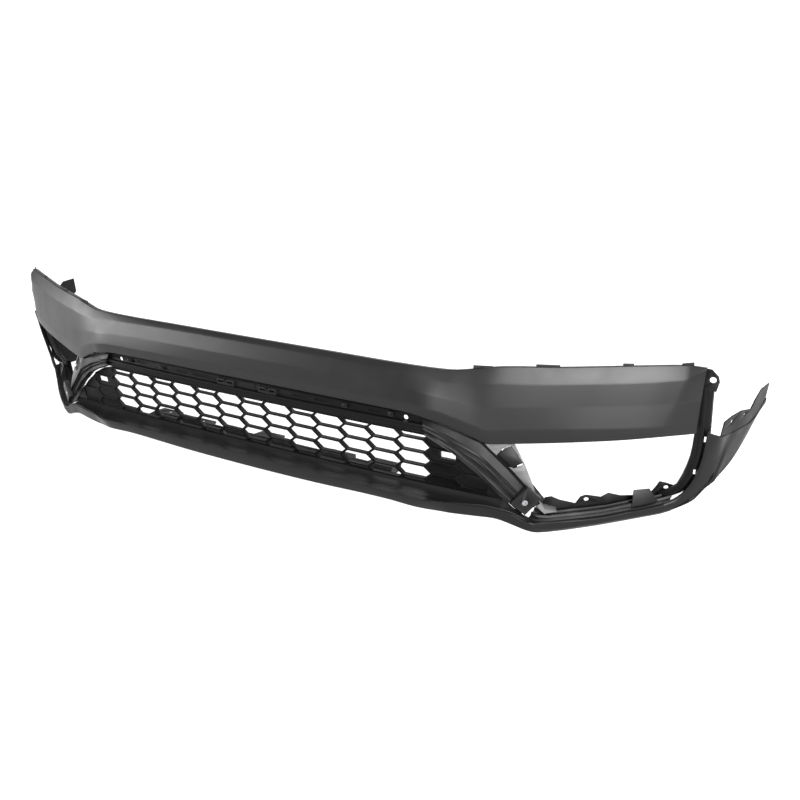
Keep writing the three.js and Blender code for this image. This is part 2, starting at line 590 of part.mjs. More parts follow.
const wingSkin = (grow = 0) => solid(sheet(WING_COLUMNS.length, WING_ROWS, wingPoint, WALL, grow));

const uprightSkin = (grow = 0) => solid(
  sheet(UPRIGHT_PROFILE.length, UPRIGHT_Z.length, uprightPoint, RIB, grow),
);

function endUpright() {
  const earY = straight(UPRIGHT_Y, 82) + 1;
  const neck = prismY(EAR_PLATE, earY - RIB / 2, earY + RIB / 2);
  const ring = barY(EAR.outer, RIB, EAR.x, earY, EAR.z);
  const bolt = barY(EAR.hole, 40, EAR.x, earY, EAR.z);
  const slots = UPRIGHT_SLOTS.map(([x, z]) => block(3.4, 60, 11, x, earY, z));
  return largest(cut(join(uprightSkin(), neck, ring), bolt, ...slots, wingSkin(GAP), floorSkin(GAP), flangeSlab(GAP),
    ...fasciaRoom));
}

// ---------------------------------------------------------- arch brackets
// An upright web behind the wing's lower corner, where the wheel arch liner is fixed.
const BRACKET = { x: 829, outline: [[198, -60], [208, -52], [236, -60], [318, -150], [322, -164], [290, -166],
  [240, -163], [214, -150], [199, -130]], hole: [280, -144] };

function archBracket() {
  const { x, outline, hole } = BRACKET;
  const shape = new THREE.Shape(outline.map(([y, z]) => new THREE.Vector2(y, z)));
  const bore = new THREE.Path().absarc(hole[0], hole[1], 4, 0, 2 * Math.PI);
  shape.holes.push(bore);
  const web = new THREE.ExtrudeGeometry(shape, { depth: RIB, bevelEnabled: false, curveSegments: 8 });
  web.rotateX(Math.PI / 2).rotateZ(Math.PI / 2).translate(x - RIB, 0, 0);
  return largest(cut(solid(web), wingSkin(2 * GAP), uprightSkin(GAP), floorSkin(GAP), flangeSlab(GAP)));
}

// ----------------------------------------------------------------- scene
const BLACK = { color: 0x1b1c1d, roughness: 0.6, metalness: 0 };
const SATIN = { color: 0x2a2b2c, roughness: 0.45, metalness: 0 };
const GREY = { color: 0xa9aaab, roughness: 0.4, metalness: 0 };
const STEEL = { color: 0x6d7073, roughness: 0.4, metalness: 1 };

const root = new THREE.Group();
// The part's origin is the middle of the mounting shelf's top face.
root.position.set(0, -(MOUNT_SHELF.front + MOUNT_SHELF.depth / 2), -MOUNT_SHELF.top);

function place(name, manifold, look) {
  const mesh = new THREE.Mesh(geometryOf(manifold), new THREE.MeshStandardMaterial(look));
  mesh.name = name;
  root.add(mesh);
}

// A right-hand piece and its mirror image.
function placePair(name, manifold, look) {
  place(`${name}_right`, manifold, look);
  place(`${name}_left`, mirrored(manifold), look);
}

place('upper_fascia', upperFascia(), SATIN);
place('lower_valance', lowerValance(), SATIN);
place('centre_grille', centreGrille(), BLACK);
place('grille_top_rail', grilleTopRail(), BLACK);
place('undertray_flange', undertrayFlange(), BLACK);

placePair('opening_floor', openingFloor(), BLACK);
placePair('opening_gusset', gusset(), BLACK);
placePair('garnish_channel', garnishChannel(), BLACK);
placePair('channel_end_cap', channelCap(), BLACK);
placePair('channel_screw', channelScrew(), STEEL);
placePair('opening_side_panel', innerPanel(), GREY);
placePair('panel_blank', panelBlank(), BLACK);
placePair('end_upright', endUpright(), BLACK);
placePair('arch_bracket', archBracket(), BLACK);
placePair('rail_clip_tower', clipTower(TOWER_X), BLACK);
HOOKS.forEach((x, index) => placePair(`rail_hook_${index + 1}`, hookClip(x), BLACK));

export default root;
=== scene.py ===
# %% [markdown]
# # A front lower bumper cover
# The object is the plastic trim under the front bumper of a compact car: a long satin strip with a
# folded face, a honeycomb grille under it, two ribbed channels that frame the grille, an opening for a
# fog lamp at each end, and a lower lip that runs out into a wing in front of each wheel.
# Everything is injection moulded, so walls are thin, edges have a small radius and no face is quite
# flat. The first cell loads the fixed frame: every piece below is placed by its numbers, in metres.

# %% Load the frame
import bmesh
import bpy
import math
from mathutils import Matrix, Vector


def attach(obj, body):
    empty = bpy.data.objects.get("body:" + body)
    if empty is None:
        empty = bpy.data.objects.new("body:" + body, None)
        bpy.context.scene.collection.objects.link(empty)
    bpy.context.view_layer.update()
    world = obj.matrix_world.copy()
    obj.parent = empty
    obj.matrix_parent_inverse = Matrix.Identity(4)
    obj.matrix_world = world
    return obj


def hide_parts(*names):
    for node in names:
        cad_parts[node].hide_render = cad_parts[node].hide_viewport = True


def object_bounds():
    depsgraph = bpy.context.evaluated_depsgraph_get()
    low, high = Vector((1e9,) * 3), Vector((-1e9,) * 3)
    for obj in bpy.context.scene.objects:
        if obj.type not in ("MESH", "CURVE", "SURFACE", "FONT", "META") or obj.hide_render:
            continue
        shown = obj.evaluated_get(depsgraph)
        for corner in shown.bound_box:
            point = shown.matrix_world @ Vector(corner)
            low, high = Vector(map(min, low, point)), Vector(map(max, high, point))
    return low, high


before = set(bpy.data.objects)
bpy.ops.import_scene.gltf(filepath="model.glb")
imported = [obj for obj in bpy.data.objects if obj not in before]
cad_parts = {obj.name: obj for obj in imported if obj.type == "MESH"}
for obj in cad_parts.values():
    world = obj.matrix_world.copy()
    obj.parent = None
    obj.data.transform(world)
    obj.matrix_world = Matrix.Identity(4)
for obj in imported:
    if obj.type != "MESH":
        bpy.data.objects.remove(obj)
packed_box = [list(corner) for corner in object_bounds()]
print("packed box", packed_box, "with", len(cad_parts), "nodes")

# %% [markdown]
# ## The car's own coordinates
# Trim is drawn from the car's centre plane, in millimetres. The frame's origin is the middle of the
# mounting shelf, so one matrix takes a drawing point to the frame. Each piece could be modelled near the
# origin and moved into place, but with one matrix for all, no piece has to be fitted by eye.

# %% Drawing to frame
SHELF_TOP = 90
SHELF_MIDDLE = 4.25
MILLIMETRE = 0.001
to_frame = Matrix.Scale(MILLIMETRE, 4) @ Matrix.Translation((0, -SHELF_MIDDLE, -SHELF_TOP))
print("the drawing's origin lies at", tuple(round(c, 4) for c in to_frame @ Vector((0, 0, 0))))

# %% [markdown]
# ## Building blocks of a finish
# A finish is a small graph of nodes. Three kinds repeat: a noise, a change of range, and a blend of two
# tones. They could be wired by hand in each finish, but as helpers each finish reads as one short list.

# %% Noise, ranges and tones
NOISE_MIDDLE = (0.3, 0.7)


def noise(nodes, links, place, scale, detail=2.0, distortion=0.0):
    texture = nodes.new("ShaderNodeTexNoise")
    texture.inputs["Scale"].default_value = scale
    texture.inputs["Detail"].default_value = detail
    texture.inputs["Distortion"].default_value = distortion
    links.new(place, texture.inputs["Vector"])
    return texture.outputs["Fac"]


def remap(nodes, links, value, low, high, to_low, to_high):
    node = nodes.new("ShaderNodeMapRange")
    sockets = ("From Min", "From Max", "To Min", "To Max")
    for socket, number in zip(sockets, (low, high, to_low, to_high)):
        node.inputs[socket].default_value = number
    links.new(value, node.inputs["Value"])
    return node.outputs["Result"]


def blend_tones(nodes, links, factor, first, second):
    node = nodes.new("ShaderNodeMix")
    node.data_type = "RGBA"
    links.new(factor, node.inputs["Factor"])
    for socket, tone in ((node.inputs[6], first), (node.inputs[7], second)):
        if isinstance(tone, tuple):
            socket.default_value = (*tone, 1)
        else:
            links.new(tone, socket)
    return node.outputs[2]


print("most of a noise lies between", *NOISE_MIDDLE)

# %% [markdown]
# ## Moulded plastic
# Moulded plastic has three scales of detail: a fine grain from the mould, a slow change of gloss where
# the melt cooled at different speeds, and paler edges where it has been handled. Noise on Object
# coordinates gives the first two. Pointiness, which is high on outer edges, gives the third.
# Painted maps could do the same, but they would need a layout for every piece.

# %% A moulded plastic
CLOUD_SCALE = 7
CLOUD_DARKENING = 0.8
FLOW_SCALE = 22
OUTER_EDGE = (0.53, 0.62)
EDGE_PALENESS = 0.5
GRAIN_STRENGTH = 0.35


def moulded_plastic(name, tone, gloss_break, grain, grain_depth, edge_tone, shine):
    finish = bpy.data.materials.new(name)
    finish.use_nodes = True
    nodes, links = finish.node_tree.nodes, finish.node_tree.links
    shader = nodes["Principled BSDF"]
    place = nodes.new("ShaderNodeTexCoord").outputs["Object"]
    clouds = noise(nodes, links, place, CLOUD_SCALE, 3)
    deeper = tuple(c * CLOUD_DARKENING for c in tone)
    body = blend_tones(nodes, links, clouds, deeper, tone)
    pointiness = nodes.new("ShaderNodeNewGeometry").outputs["Pointiness"]
    outer_edge = remap(nodes, links, pointiness, *OUTER_EDGE, 0, EDGE_PALENESS)
    body = blend_tones(nodes, links, outer_edge, body, edge_tone)
    links.new(body, shader.inputs["Base Color"])
    flow = noise(nodes, links, place, FLOW_SCALE, 5, 0.6)
    links.new(remap(nodes, links, flow, *NOISE_MIDDLE, *gloss_break), shader.inputs["Roughness"])
    shader.inputs["Specular IOR Level"].default_value = shine
    bump = nodes.new("ShaderNodeBump")
    bump.inputs["Strength"].default_value = GRAIN_STRENGTH
    bump.inputs["Distance"].default_value = grain_depth
    links.new(noise(nodes, links, place, 1 / grain, 3), bump.inputs["Height"])
    links.new(bump.outputs["Normal"], shader.inputs["Normal"])
    return finish


print("a plastic is clouds, paler edges, flow marks and grain")

# %% [markdown]
# Six plastics cover the object: a satin one for the strip, a grained one for the lip, three blacks for
# the mouldings under them, and a lighter grey for the panel beside each opening. That lighter grey is
# painted light: the panel faces up towards the lamps, and its tone stands in for the light it catches.
# One plastic for all would be simpler, but the real mouldings come from different tools, and each has
# its own gloss.

# %% The six plastics
def greys(*levels):
    return [(level, level, level) for level in levels]


satin = moulded_plastic("strip_satin_plastic", (0.0035, 0.0035, 0.0037), (0.40, 0.46),
                        0.0009, 0.00002, (0.012, 0.012, 0.012), 0.2)
lip_satin = moulded_plastic("lip_grained_plastic", (0.0032, 0.0032, 0.0034), (0.34, 0.44),
                            0.0008, 0.00005, (0.02, 0.02, 0.02), 0.13)
tone, edge_tone = greys(0.0016, 0.01)
grille_black = moulded_plastic("grille_black_plastic", tone, (0.38, 0.52), 0.0007, 0.00005, edge_tone, 0.07)
tone, edge_tone = greys(0.002, 0.02)
channel_black = moulded_plastic("channel_black_plastic", tone, (0.38, 0.46), 0.0007, 0.00004, edge_tone, 0.1)
tone, edge_tone = greys(0.002, 0.015)
bracket_black = moulded_plastic("bracket_black_plastic", tone, (0.36, 0.5), 0.0009, 0.00005, edge_tone, 0.1)
# The panel's paler grey is painted light, standing in for the light that its upward face catches.
tone, edge_tone = greys(0.05, 0.08)
panel_grey = moulded_plastic("panel_painted_light_grey_plastic", tone, (0.36, 0.48), 0.0009, 0.0001, edge_tone, 0.15)
plastics = (satin, lip_satin, grille_black, channel_black, bracket_black, panel_grey)
print("plastics:", [plastic.name for plastic in plastics])

# %% [markdown]
# The screws are zinc plated steel. Plating is a metal, and its tone and gloss change in small clouds, so
# one fine noise drives both. A plain metal would do at a distance, but it looks new and polished.

# %% Plated steel
PLATING_SCALE = 300
PLATING_GLOSS = (0.3, 0.5)


def plated_steel(name):
    finish = bpy.data.materials.new(name)
    finish.use_nodes = True
    nodes, links = finish.node_tree.nodes, finish.node_tree.links
    shader = nodes["Principled BSDF"]
    place = nodes.new("ShaderNodeTexCoord").outputs["Object"]
    shader.inputs["Metallic"].default_value = 1.0
    clouds = noise(nodes, links, place, PLATING_SCALE, 2)
    plating = blend_tones(nodes, links, clouds, (0.16, 0.16, 0.17), (0.24, 0.24, 0.25))
    links.new(plating, shader.inputs["Base Color"])
    links.new(remap(nodes, links, clouds, *NOISE_MIDDLE, *PLATING_GLOSS), shader.inputs["Roughness"])
    return finish


steel = plated_steel("screw_plated_steel")
print("metal:", steel.name)

# %% [markdown]
# ## Smooth lines through stations
# Each long edge of the strip and the lip is a line in space. It is drawn at a few half-widths, called
# stations, and a cubic curve runs between them. The same few numbers could be joined by straight lines,
# but then a glossy surface shows a kink at every station.

# %% Values between stations
def along(stations, x):
    u = abs(x)
    last = len(stations) - 1
    i = 0
    while i < last - 1 and u > stations[i + 1][0]:
        i += 1

    def slope(k):
        if k <= 0 or k >= last:
            return 0.0
        return (stations[k + 1][1] - stations[k - 1][1]) / (stations[k + 1][0] - stations[k - 1][0])

    (x0, v0), (x1, v1) = stations[i], stations[i + 1]
    span = x1 - x0
    t = min(max((u - x0) / span, 0.0), 1.0)
    start = 0.0 if i == 0 else slope(i)
    end = (v1 - v0) / span if i + 1 == last else slope(i + 1)
    return ((2 * t**3 - 3 * t**2 + 1) * v0 + (t**3 - 2 * t**2 + t) * span * start
            + (3 * t**2 - 2 * t**3) * v1 + (t**3 - t**2) * span * end)


print("halfway between two stations:", along([[0, 0], [10, 4], [20, 5]], 15))

# %% [markdown]
# ## From mesh to piece
# Every piece ends the same way: its bmesh becomes an object at the origin, its edges are rounded, and it
# is given a finish and the body it rides on. A bevel along real edges costs more faces than a shader that
# only fakes them, but the radius then shows in the outline too.

# %% Piece, edges and finish
EDGE_SEGMENTS = 2


def piece_of(name, bm):
    mesh = bpy.data.meshes.new(name)
    bm.to_mesh(mesh)
    bm.free()
    for polygon in mesh.polygons:
        polygon.use_smooth = True
    piece = bpy.data.objects.new(name, mesh)
    bpy.context.scene.collection.objects.link(piece)
    return piece


def round_edges(piece, width, sharper_than=30):
    bevel = piece.modifiers.new("round_edges", "BEVEL")
    bevel.width = width
    bevel.segments = EDGE_SEGMENTS
    bevel.limit_method = "ANGLE"
    bevel.angle_limit = math.radians(sharper_than)
    bevel.harden_normals = True


def dress(piece, finish, nodes=()):
    piece.data.materials.clear()
    piece.data.materials.append(finish)
    if nodes:
        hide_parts(*nodes)
    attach(piece, "root")
    return piece


print("every piece is rounded by a bevel of", EDGE_SEGMENTS, "segments")

# %% [markdown]
# ## A moulded sheet
# A skin of plastic is a grid whose points are laid on the drawn lines. The Solidify modifier gives it
# its wall, always towards the inside. Every fold line is bevelled along its whole length, so its
# highlight never breaks, and the Bevel modifier rounds the rim. A box bent into shape could make the
# same skin, but its thickness would have to be kept by hand.

# %% Sheets
FOLD_SEGMENTS = 4
RIM_RADIUS = 0.0006
RIM_ANGLE = 50


def sheet(name, columns, rows, point_at, wall, outward, fold_radius=0, hand=1):
    bm = bmesh.new()
    bmesh.ops.create_grid(bm, x_segments=columns - 1, y_segments=rows - 1, size=0.5)
    row_of = {}
    for v in bm.verts:
        i, j = round((v.co.x + 0.5) * (columns - 1)), round((v.co.y + 0.5) * (rows - 1))
        row_of[v] = j
        v.co = Vector(point_at(i, j))
    rims = (0, rows - 1)
    fold_lines = [e for e in bm.edges if row_of[e.verts[0]] == row_of[e.verts[1]] not in rims]
    bmesh.ops.transform(bm, matrix=to_frame, verts=bm.verts)
    if fold_radius:
        bmesh.ops.bevel(bm, geom=fold_lines, offset=fold_radius, segments=FOLD_SEGMENTS, profile=0.5,
                        affect="EDGES", material=-1, clamp_overlap=True)
    if hand < 0:
        bmesh.ops.scale(bm, vec=(-1, 1, 1), verts=bm.verts)
        bmesh.ops.reverse_faces(bm, faces=bm.faces)
    bm.normal_update()
    facing = Vector((outward[0] * hand, outward[1], outward[2]))
    if sum(f.normal.dot(facing) for f in bm.faces) < 0:
        bmesh.ops.reverse_faces(bm, faces=bm.faces)
    piece = piece_of(name, bm)
    thick = piece.modifiers.new("wall", "SOLIDIFY")
    thick.thickness = wall * MILLIMETRE
    thick.offset = -1
    thick.use_even_offset = False
    round_edges(piece, RIM_RADIUS, RIM_ANGLE)
    return piece


print("a sheet is a grid, a wall and rounded folds")

# %% [markdown]
# ## The strip
# The upper fascia is the part that is seen first: a narrow facet along the top, a crease, a tall face
# and a band that turns under at the hem. At each end a facet turns back to the wheel.
# A subdivided cage would make its faces softly, but the folds would lose their line. So each fold is one
# row of the grid, and the columns stand close together so that the reflections run smoothly.

# %% The strip's lines
SKIN_WALL = 2.8
END_X = 818
TOP_Y = [[0, -5], [190, -2], [333, 5], [420, 19], [456, 28], [505, 40], [596, 74], [718, 127],
         [793, 164], [END_X, 182]]
TOP_Z = [[0, 105.5], [190, 104.5], [333, 102], [420, 100], [456, 104.5], [505, 113], [596, 116],
         [718, 121.5], [793, 122.5], [END_X, 116]]
CREASE_FORWARD = [[0, 9], [333, 10], [505, 13], [793, 13], [END_X, 3]]
CREASE_DROP = [[0, 8], [333, 12], [420, 18], [505, 27], [596, 27], [793, 22], [END_X, 4]]
HEM_Y = [[0, -20], [333, -17], [390, -15], [420, -6.5], [454, 4], [484, 14], [516, 25.5],
         [581, 49.5], [644, 73], [706, 99], [765, 129], [END_X, 171]]
HEM_Z = [[0, 22], [333, 20.5], [372, 18.5], [403, 12], [420, 7.5], [436, 0], [454, -7.5],
         [471, -15.5], [484, -22], [493, -26], [516, -25], [581, -20], [644, -14], [706, -8],
         [765, -2], [END_X, -2]]
BAND_RISE = [[0, 23], [333, 20], [420, 22], [505, 28], [596, 28], [771, 20], [END_X, 16]]
BAND_LEAD = [[0, 7], [333, 6], [420, 4], [505, 3], [END_X, 2]]
FACE_FORWARD = [[0, 20], [333, 18], [505, 19], [END_X, 16]]
print("the strip is", 2 * END_X, "mm wide and", TOP_Z[0][1] - HEM_Z[0][1], "mm tall at its middle")

# %% [markdown]
# A section of the strip has seven points, from the turned hem to the turned top. Near each end the
# points slide sideways, so that the last crease slants as the real one does. Straight columns would
# leave that crease upright.

# %% The strip's sections
HEM_TURN = (8, 1)
TOP_TURN = (11, -2.5)
FACE_STEP = 6
END_CREASE = 782
END_CREASE_SLANT = [-16, -16, -11, 0, 11, 9, 6]
SLANT_START = 700


def strip_section(x, j):
    top_y, top_z, hem_y, hem_z = (along(line, x) for line in (TOP_Y, TOP_Z, HEM_Y, HEM_Z))
    crease_z = top_z - along(CREASE_DROP, x)
    band_z = hem_z + along(BAND_RISE, x)
    band_y = hem_y - along(BAND_LEAD, x)
    face_y = min(top_y - along(FACE_FORWARD, x), band_y + FACE_STEP)
    profile = [(hem_y + HEM_TURN[0], hem_z + HEM_TURN[1]),
               (hem_y, hem_z),
               (band_y, band_z),
               (face_y, (crease_z + band_z) / 2),
               (top_y - along(CREASE_FORWARD, x), crease_z),
               (top_y, top_z),
               (top_y + TOP_TURN[0], top_z + TOP_TURN[1])]
    return x, *profile[j]


def fascia_point(i, j):
    station = fascia_columns[i]
    side = math.copysign(1, station)
    crease_x = END_CREASE + END_CREASE_SLANT[j]
    if abs(station) > END_CREASE:
        share = (abs(station) - END_CREASE) / (END_X - END_CREASE)
        start = Vector(strip_section(side * crease_x, j))
        end = Vector(strip_section(side * END_X, j))
        return start.lerp(end, share)
    near_end = max(0.0, (abs(station) - SLANT_START) / (END_CREASE - SLANT_START))
    return strip_section(station + side * END_CREASE_SLANT[j] * near_end, j)


print("the strip's crease at its middle is at", strip_section(0, 4))

# %% The upper fascia
COLUMN_STEP = 11
LAST_STEP = 777
FASCIA_FOLD = 0.0035

half_columns = [*range(0, LAST_STEP, COLUMN_STEP), LAST_STEP, END_CREASE, 787, 794, 801, 809, END_X]
fascia_columns = [-u for u in reversed(half_columns[1:])] + half_columns
strip = sheet("fascia_strip", len(fascia_columns), len(END_CREASE_SLANT), fascia_point, SKIN_WALL,
              (0, -1, 0.2), fold_radius=FASCIA_FOLD)
dress(strip, satin, ["upper_fascia"])
print("the strip has", len(strip.data.polygons), "faces before its wall")

# %% [markdown]
# ## Boxes and holes
# Flat lugs are boxes: a cube is scaled, turned and placed, and its edges are rounded. A hole could be an
# inset and a bridge of faces, which suits a flat face only. Here it is a round bar taken away, and the
# Boolean is made final at once, so that no helper object stays.

# %% Boxes and holes
HOLE_SIDES = 32
BAR_LENGTH = 30


def box(name, size, centre, turn=0.0):
    bm = bmesh.new()
    bmesh.ops.create_cube(bm, size=1)
    bmesh.ops.scale(bm, vec=size, verts=bm.verts)
    turned = Matrix.Translation(centre) @ Matrix.Rotation(turn, 4, "Z")
    bmesh.ops.transform(bm, matrix=to_frame @ turned, verts=bm.verts)
    return piece_of(name, bm)


def settled(piece):
    """The piece with its modifiers made final."""
    bpy.context.view_layer.update()
    graph = bpy.context.evaluated_depsgraph_get()
    finished = bpy.data.meshes.new_from_object(piece.evaluated_get(graph))
    piece.modifiers.clear()
    piece.data = finished
    return piece


def drilled(piece, holes):
    for centre, axis, diameter in holes:
        bm = bmesh.new()
        bmesh.ops.create_cone(bm, cap_ends=True, segments=HOLE_SIDES, radius1=diameter / 2,
                              radius2=diameter / 2, depth=BAR_LENGTH)
        aim = Vector((0, 0, 1)).rotation_difference(Vector(axis)).to_matrix().to_4x4()
        bmesh.ops.transform(bm, matrix=to_frame @ Matrix.Translation(centre) @ aim, verts=bm.verts)
        bar = piece_of("bar", bm)
        boolean = piece.modifiers.new("hole", "BOOLEAN")
        boolean.operation = "DIFFERENCE"
        boolean.object = bar
        boolean.solver = "EXACT"
        settled(piece)
        bpy.data.objects.remove(bar)
    return piece


print("a hole has", HOLE_SIDES, "sides")

# %% [markdown]
# ## Shelf and edge tabs
# Behind its middle the strip carries a flat shelf with two bolt holes. Small tabs stand along its top
# edge and tuck behind the part above, each turned to follow the strip in plan. They could be pulled out
# of the strip's own grid, but the real ones meet it in a sharp corner, which separate boxes keep.

# %% The mounting shelf
SHELF_SIZE = (96, 41.5, 3)
BOLT_ASIDE = 32
BOLT_BACK = 4
BOLT_HOLE = 8
SHELF_EDGE = 0.0004

shelf = box("fascia_mounting_shelf", SHELF_SIZE, (0, SHELF_MIDDLE, SHELF_TOP - SHELF_SIZE[2] / 2))
bolt_holes = [((x, SHELF_MIDDLE + BOLT_BACK, SHELF_TOP), (0, 0, 1), BOLT_HOLE)
              for x in (-BOLT_ASIDE, BOLT_ASIDE)]
drilled(shelf, bolt_holes)
round_edges(shelf, SHELF_EDGE)
dress(shelf, satin)
print("the shelf has", len(bolt_holes), "bolt holes")

# %% The edge tabs
SIDES = ((1, "right"), (-1, "left"))
EDGE_TABS = [(475, 34), (578, 40), (700, 18), (789, 22)]
TAB_THICK, TAB_TALL = 2.4, 7
TAB_BACK, TAB_DROP = 5, 1
TAB_EDGE = 0.0005
PLAN_REACH = 5


def plan_angle(x):
    rise = along(HEM_Y, x + PLAN_REACH) - along(HEM_Y, x - PLAN_REACH)
    return math.atan2(rise, 2 * PLAN_REACH)


for k, (x, width) in enumerate(EDGE_TABS, 1):
    for hand, side in SIDES:
        centre = (hand * x, along(TOP_Y, x) + TAB_BACK, along(TOP_Z, x) - TAB_DROP)
        size = (width, TAB_THICK, TAB_TALL)
        tab = box(f"fascia_edge_tab_{k}_{side}", size, centre, hand * plan_angle(x))
        round_edges(tab, TAB_EDGE)
        dress(tab, satin)
print("edge tabs:", 2 * len(EDGE_TABS))

# %% [markdown]
# ## The lower lip
# The lip is one more long sheet. From the shelf under the grille it comes forward to a sharp edge,
# drops to the chin and turns back under. Outboard of the grille it steps down and becomes the sill of
# the fog lamp opening. It could be three pieces that meet at the step, but the real one is a single
# moulding, and one sheet leaves no seam. Columns stand closer where the lip bends.

# %% The lip's lines
LIP_END = 796
LIP_SHELF_Z = -129.9
SHELF_Y = [[0, 22], [400, 27], [500, 33], [525, 33], [545, 31], [565, 33], [581, 36], [597, 39],
           [628, 59], [658, 80], [688, 102], [732, 136], [756, 154], [785, 176], [LIP_END, 182]]
SHELF_Z = [[0, LIP_SHELF_Z], [500, LIP_SHELF_Z], [525, -132], [545, -145], [565, -156], [581, -162],
           [597, -164.5], [628, -164], [658, -162.5], [688, -161], [732, -155.5], [756, -153],
           [785, -147], [LIP_END, -142]]
BROW_Y = [[0, -12], [400, -11], [450, -4], [500, 3], [545, 15], [581, 25], [597, 29], [628, 48],
          [658, 69], [688, 91], [732, 125], [756, 143], [785, 165], [LIP_END, 172]]
BROW_Z = [[0, -138.5], [400, -139], [450, -141], [500, -140], [525, -142], [545, -149], [565, -159],
          [581, -165], [597, -163], [658, -163], [688, -162], [732, -156], [756, -154], [785, -148],
          [LIP_END, -143]]
LIP_EDGE_Y = [[0, -33], [390, -33], [410, -29], [426, -22], [443, -16], [479, -8], [512, 1],
              [546, 12], [565, 19], [581, 24], [593, 27], [606, 36], [628, 51], [659, 72], [689, 94],
              [733, 129], [780, 164], [LIP_END, 174]]
LIP_EDGE_Z = [[0, -136.5], [410, -137], [426, -139.5], [460, -138.5], [496, -136.5], [520, -139],
              [546, -145], [565, -155], [581, -166], [593, -173], [606, -177], [628, -178],
              [659, -175], [689, -173], [733, -169], [780, -164], [LIP_END, -155]]
CHIN_Y = [[0, -28], [330, -28], [380, -26], [420, -14], [445, -10], [484, -1], [521, 9], [547, 15],
          [565, 22], [580, 28], [594, 33], [627, 56], [658, 77], [688, 100], [749, 146], [780, 169],
          [LIP_END, 178]]
CHIN_Z = [[0, -163], [150, -161.5], [280, -157], [330, -156.5], [380, -159], [420, -163],
          [484, -163], [521, -164], [547, -171], [565, -179], [580, -184.5], [594, -185.5],
          [627, -185], [658, -182], [688, -180], [749, -173], [780, -169], [LIP_END, -163]]
print("the lip stands", LIP_EDGE_Z[0][1] - CHIN_Z[0][1], "mm tall at its middle")

# %% The lip
CHIN_TURN = (16, 1.5)
LIP_STEP, LIP_FINE_STEP = 13, 7
LIP_BEND = 376
LIP_ROWS = 5
LIP_FOLD = 0.0024

lip_half = [*range(0, LIP_BEND, LIP_STEP), *range(LIP_BEND, LIP_END, LIP_FINE_STEP), LIP_END]
lip_columns = [-u for u in reversed(lip_half[1:])] + lip_half


def lip_point(i, j):
    x = lip_columns[i]
    chin_y, chin_z = along(CHIN_Y, x), along(CHIN_Z, x)
    profile = [(chin_y + CHIN_TURN[0], chin_z + CHIN_TURN[1]),
               (chin_y, chin_z),
               (along(LIP_EDGE_Y, x), along(LIP_EDGE_Z, x)),
               (along(BROW_Y, x), along(BROW_Z, x)),
               (along(SHELF_Y, x), along(SHELF_Z, x))]
    return x, *profile[j]


lip = sheet("lower_lip", len(lip_columns), LIP_ROWS, lip_point, SKIN_WALL, (0, -1, 0.3),
            fold_radius=LIP_FOLD)
dress(lip, lip_satin, ["lower_valance"])
print("the lip has", len(lip.data.polygons), "faces before its wall")

# %% [markdown]
# ## The wings
# Beyond the opening the lip climbs into a wing that wraps round towards the wheel. Its columns are
# smooth curves from the lower edge to the upper one, and smooth curves run across them. A coarse cage
# with a Subdivision Surface would bulge softly too, but it shrinks away from its points, and the wing's
# edges have to stay on the drawn lines. So a fine grid is laid straight on the curves.

# %% The wing's curves
TIP_X, TIP_Y = 917, 380
WING_TOP = [[838, 178, 2], [858, 195, -8], [868, 229, -15], [880, 254, -15], [890, 282, -16],
            [899, 308, -16], [908, 343, -7], [TIP_X, TIP_Y, 8]]
WING_COLUMNS = [
    [[783, 172, -145], [798, 181, -138], [811, 188, -124], [825, 192, -93], [833, 190, -51],
     [835, 186, 3]],
    [[785, 165, -148], [800, 174, -141], [814, 181, -125], [828, 185, -93], [836, 183, -51],
     WING_TOP[0]],
    [[795, 176, -162], [825, 194, -146], [838, 201, -129], [852, 207, -95], [856, 205, -50],
     WING_TOP[1]],
    [[851, 207, -111], [864, 218, -60], WING_TOP[2]],
    [[862, 219, -97], [873, 236, -55], WING_TOP[3]],
    [[879, 252, -75], [886, 268, -42], WING_TOP[4]],
    [[893, 290, -47], [897, 300, -28], WING_TOP[5]],
    [[907, 340, -14], [908, 342, -10], WING_TOP[6]],
    [[TIP_X, TIP_Y, -2], [TIP_X, TIP_Y, 3], WING_TOP[7]],
]


def smooth_path(points, share):
    """A point on the smooth curve through the points, at a share of the way along."""
    knots = [Vector(p) for p in points]
    place = share * (len(knots) - 1)
    k = min(int(place), len(knots) - 2)
    t = place - k
    before = knots[k - 1] if k else 2 * knots[0] - knots[1]
    after = knots[k + 2] if k + 2 < len(knots) else 2 * knots[-1] - knots[-2]
    a, b = knots[k], knots[k + 1]
    return 0.5 * (2 * a + (b - before) * t + (2 * before - 5 * a + 4 * b - after) * t**2
                  + (3 * a - before - 3 * b + after) * t**3)


print("halfway up the wing's first column:", tuple(smooth_path(WING_COLUMNS[0], 0.5)))

# %% Two wings
WING_ROWS = 12
WING_FINE = 33


def wing_point(i, j):
    up = j / (WING_ROWS - 1)
    across = [smooth_path(column, up) for column in WING_COLUMNS]
    return smooth_path(across, i / (WING_FINE - 1))


for hand, side in SIDES:
    wing = sheet(f"wing_{side}", WING_FINE, WING_ROWS, wing_point, SKIN_WALL, (1, -1, 0), hand=hand)
    dress(wing, lip_satin)
print("two wings of", len(wing.data.polygons), "faces before their wall")

# %% [markdown]
# The stepped flange behind the wing's upper edge carries two holes, where the liner of the wheel arch is
# fixed. It could be the wing's own last rows, but its step is sharp, so it is a second, flatter sheet.
# Its wall is made final before the holes are drilled through it.

